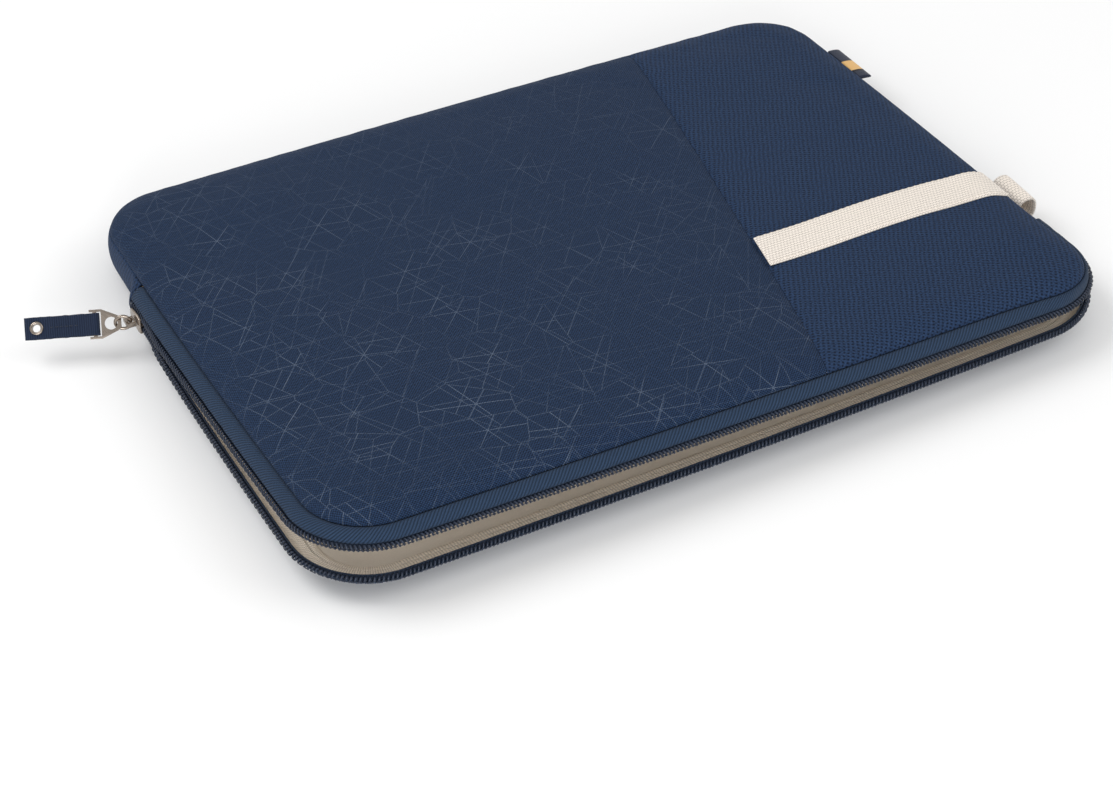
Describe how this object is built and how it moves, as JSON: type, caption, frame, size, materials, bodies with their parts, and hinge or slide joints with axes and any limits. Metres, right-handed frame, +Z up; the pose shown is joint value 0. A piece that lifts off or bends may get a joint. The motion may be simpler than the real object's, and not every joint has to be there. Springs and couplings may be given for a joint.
{
  "type": "laptop sleeve",
  "caption": "Padded fabric laptop sleeve with rounded corners, coil zip round its front, webbing pull, side loop and an accent strap, lying flat with its mouth slightly open.",
  "frame": {"origin": "middle of the flat underside, on the surface that the sleeve lies on", "axes": "+X along the long side towards the webbing loop, +Y towards the sewn back, +Z up out of the underside"},
  "size_m": [0.427, 0.2727, 0.0381],
  "materials": {
    "print_fabric": "fine plain weave with a pale line print",
    "weave_fabric": "textured dobby weave",
    "band_fabric": "ribbed fabric",
    "zip_tape": "woven zip tape",
    "coil_nylon": "satin nylon",
    "binding_tape": "ribbed tape",
    "foam": "closed-cell foam",
    "lining_fabric": "smooth lining",
    "beige_webbing": "coarse basket-weave webbing",
    "label_fabric": "woven label",
    "pull_webbing": "ribbed webbing",
    "nickel": "satin champagne nickel"
  },
  "bodies": {
    "base": {"bottom_panel": "weave_fabric", "bottom_foam": "foam", "bottom_lining": "lining_fabric", "lower_zip_band": "band_fabric", "lower_zip_tape": "zip_tape", "lower_coil": "coil_nylon", "lower_binding": "binding_tape", "rear_gusset": "weave_fabric", "gusset_lining": "lining_fabric", "left_end_stop": "coil_nylon", "right_end_stop": "coil_nylon", "side_loop": "beige_webbing", "side_label": "label_fabric", "top_print_rear": "print_fabric", "top_weave_rear": "weave_fabric", "top_foam_rear": "foam", "top_lining_rear": "lining_fabric", "strap_rear": "beige_webbing"},
    "flap": {"top_print_flap": "print_fabric", "top_weave_flap": "weave_fabric", "top_foam_flap": "foam", "top_lining_flap": "lining_fabric", "strap_flap": "beige_webbing", "upper_zip_band": "band_fabric", "upper_zip_tape": "zip_tape", "upper_coil": "coil_nylon", "upper_binding": "binding_tape"},
    "slider": {"slider_outer_plate": "nickel", "slider_inner_plate": "nickel", "slider_post": "nickel", "slider_bridge": "nickel"},
    "pull_ring": {"pull_ring": "nickel"},
    "pull_plate": {"pull_plate": "nickel"},
    "pull_tab": {"pull_webbing": "pull_webbing", "eyelet_top": "nickel", "eyelet_bottom": "nickel"}
  },
  "joints": [
    {"name": "flap_fold", "type": "hinge", "parent": "base", "child": "flap", "pos_m": [-0.185, 0.064, 0.031], "axis": [-0.9336, 0.3583, 0], "range_deg": [-3, 25]},
    {"name": "slider_travel", "type": "slide", "parent": "base", "child": "slider", "axis": [0.0051, -1, 0], "range_m": [0, 0.152], "deforming": ["lower_coil", "upper_coil", "lower_zip_tape", "upper_zip_tape"]},
    {"name": "ring_swing", "type": "hinge", "parent": "slider", "child": "pull_ring", "pos_m": [-0.18833, 0.054, 0.01524], "axis": [0, 0, 1], "range_deg": [-28, 72]},
    {"name": "plate_tilt", "type": "hinge", "parent": "pull_ring", "child": "pull_plate", "pos_m": [-0.19135, 0.05522, 0.01524], "axis": [0.3746, 0.9272, 0], "range_deg": [-35, 35]},
    {"name": "tab_tilt", "type": "hinge", "parent": "pull_plate", "child": "pull_tab", "pos_m": [-0.20215, 0.05958, 0.01524], "axis": [0.2602, 0.6441, 0.7193], "range_deg": [-40, 40]}
  ]
}
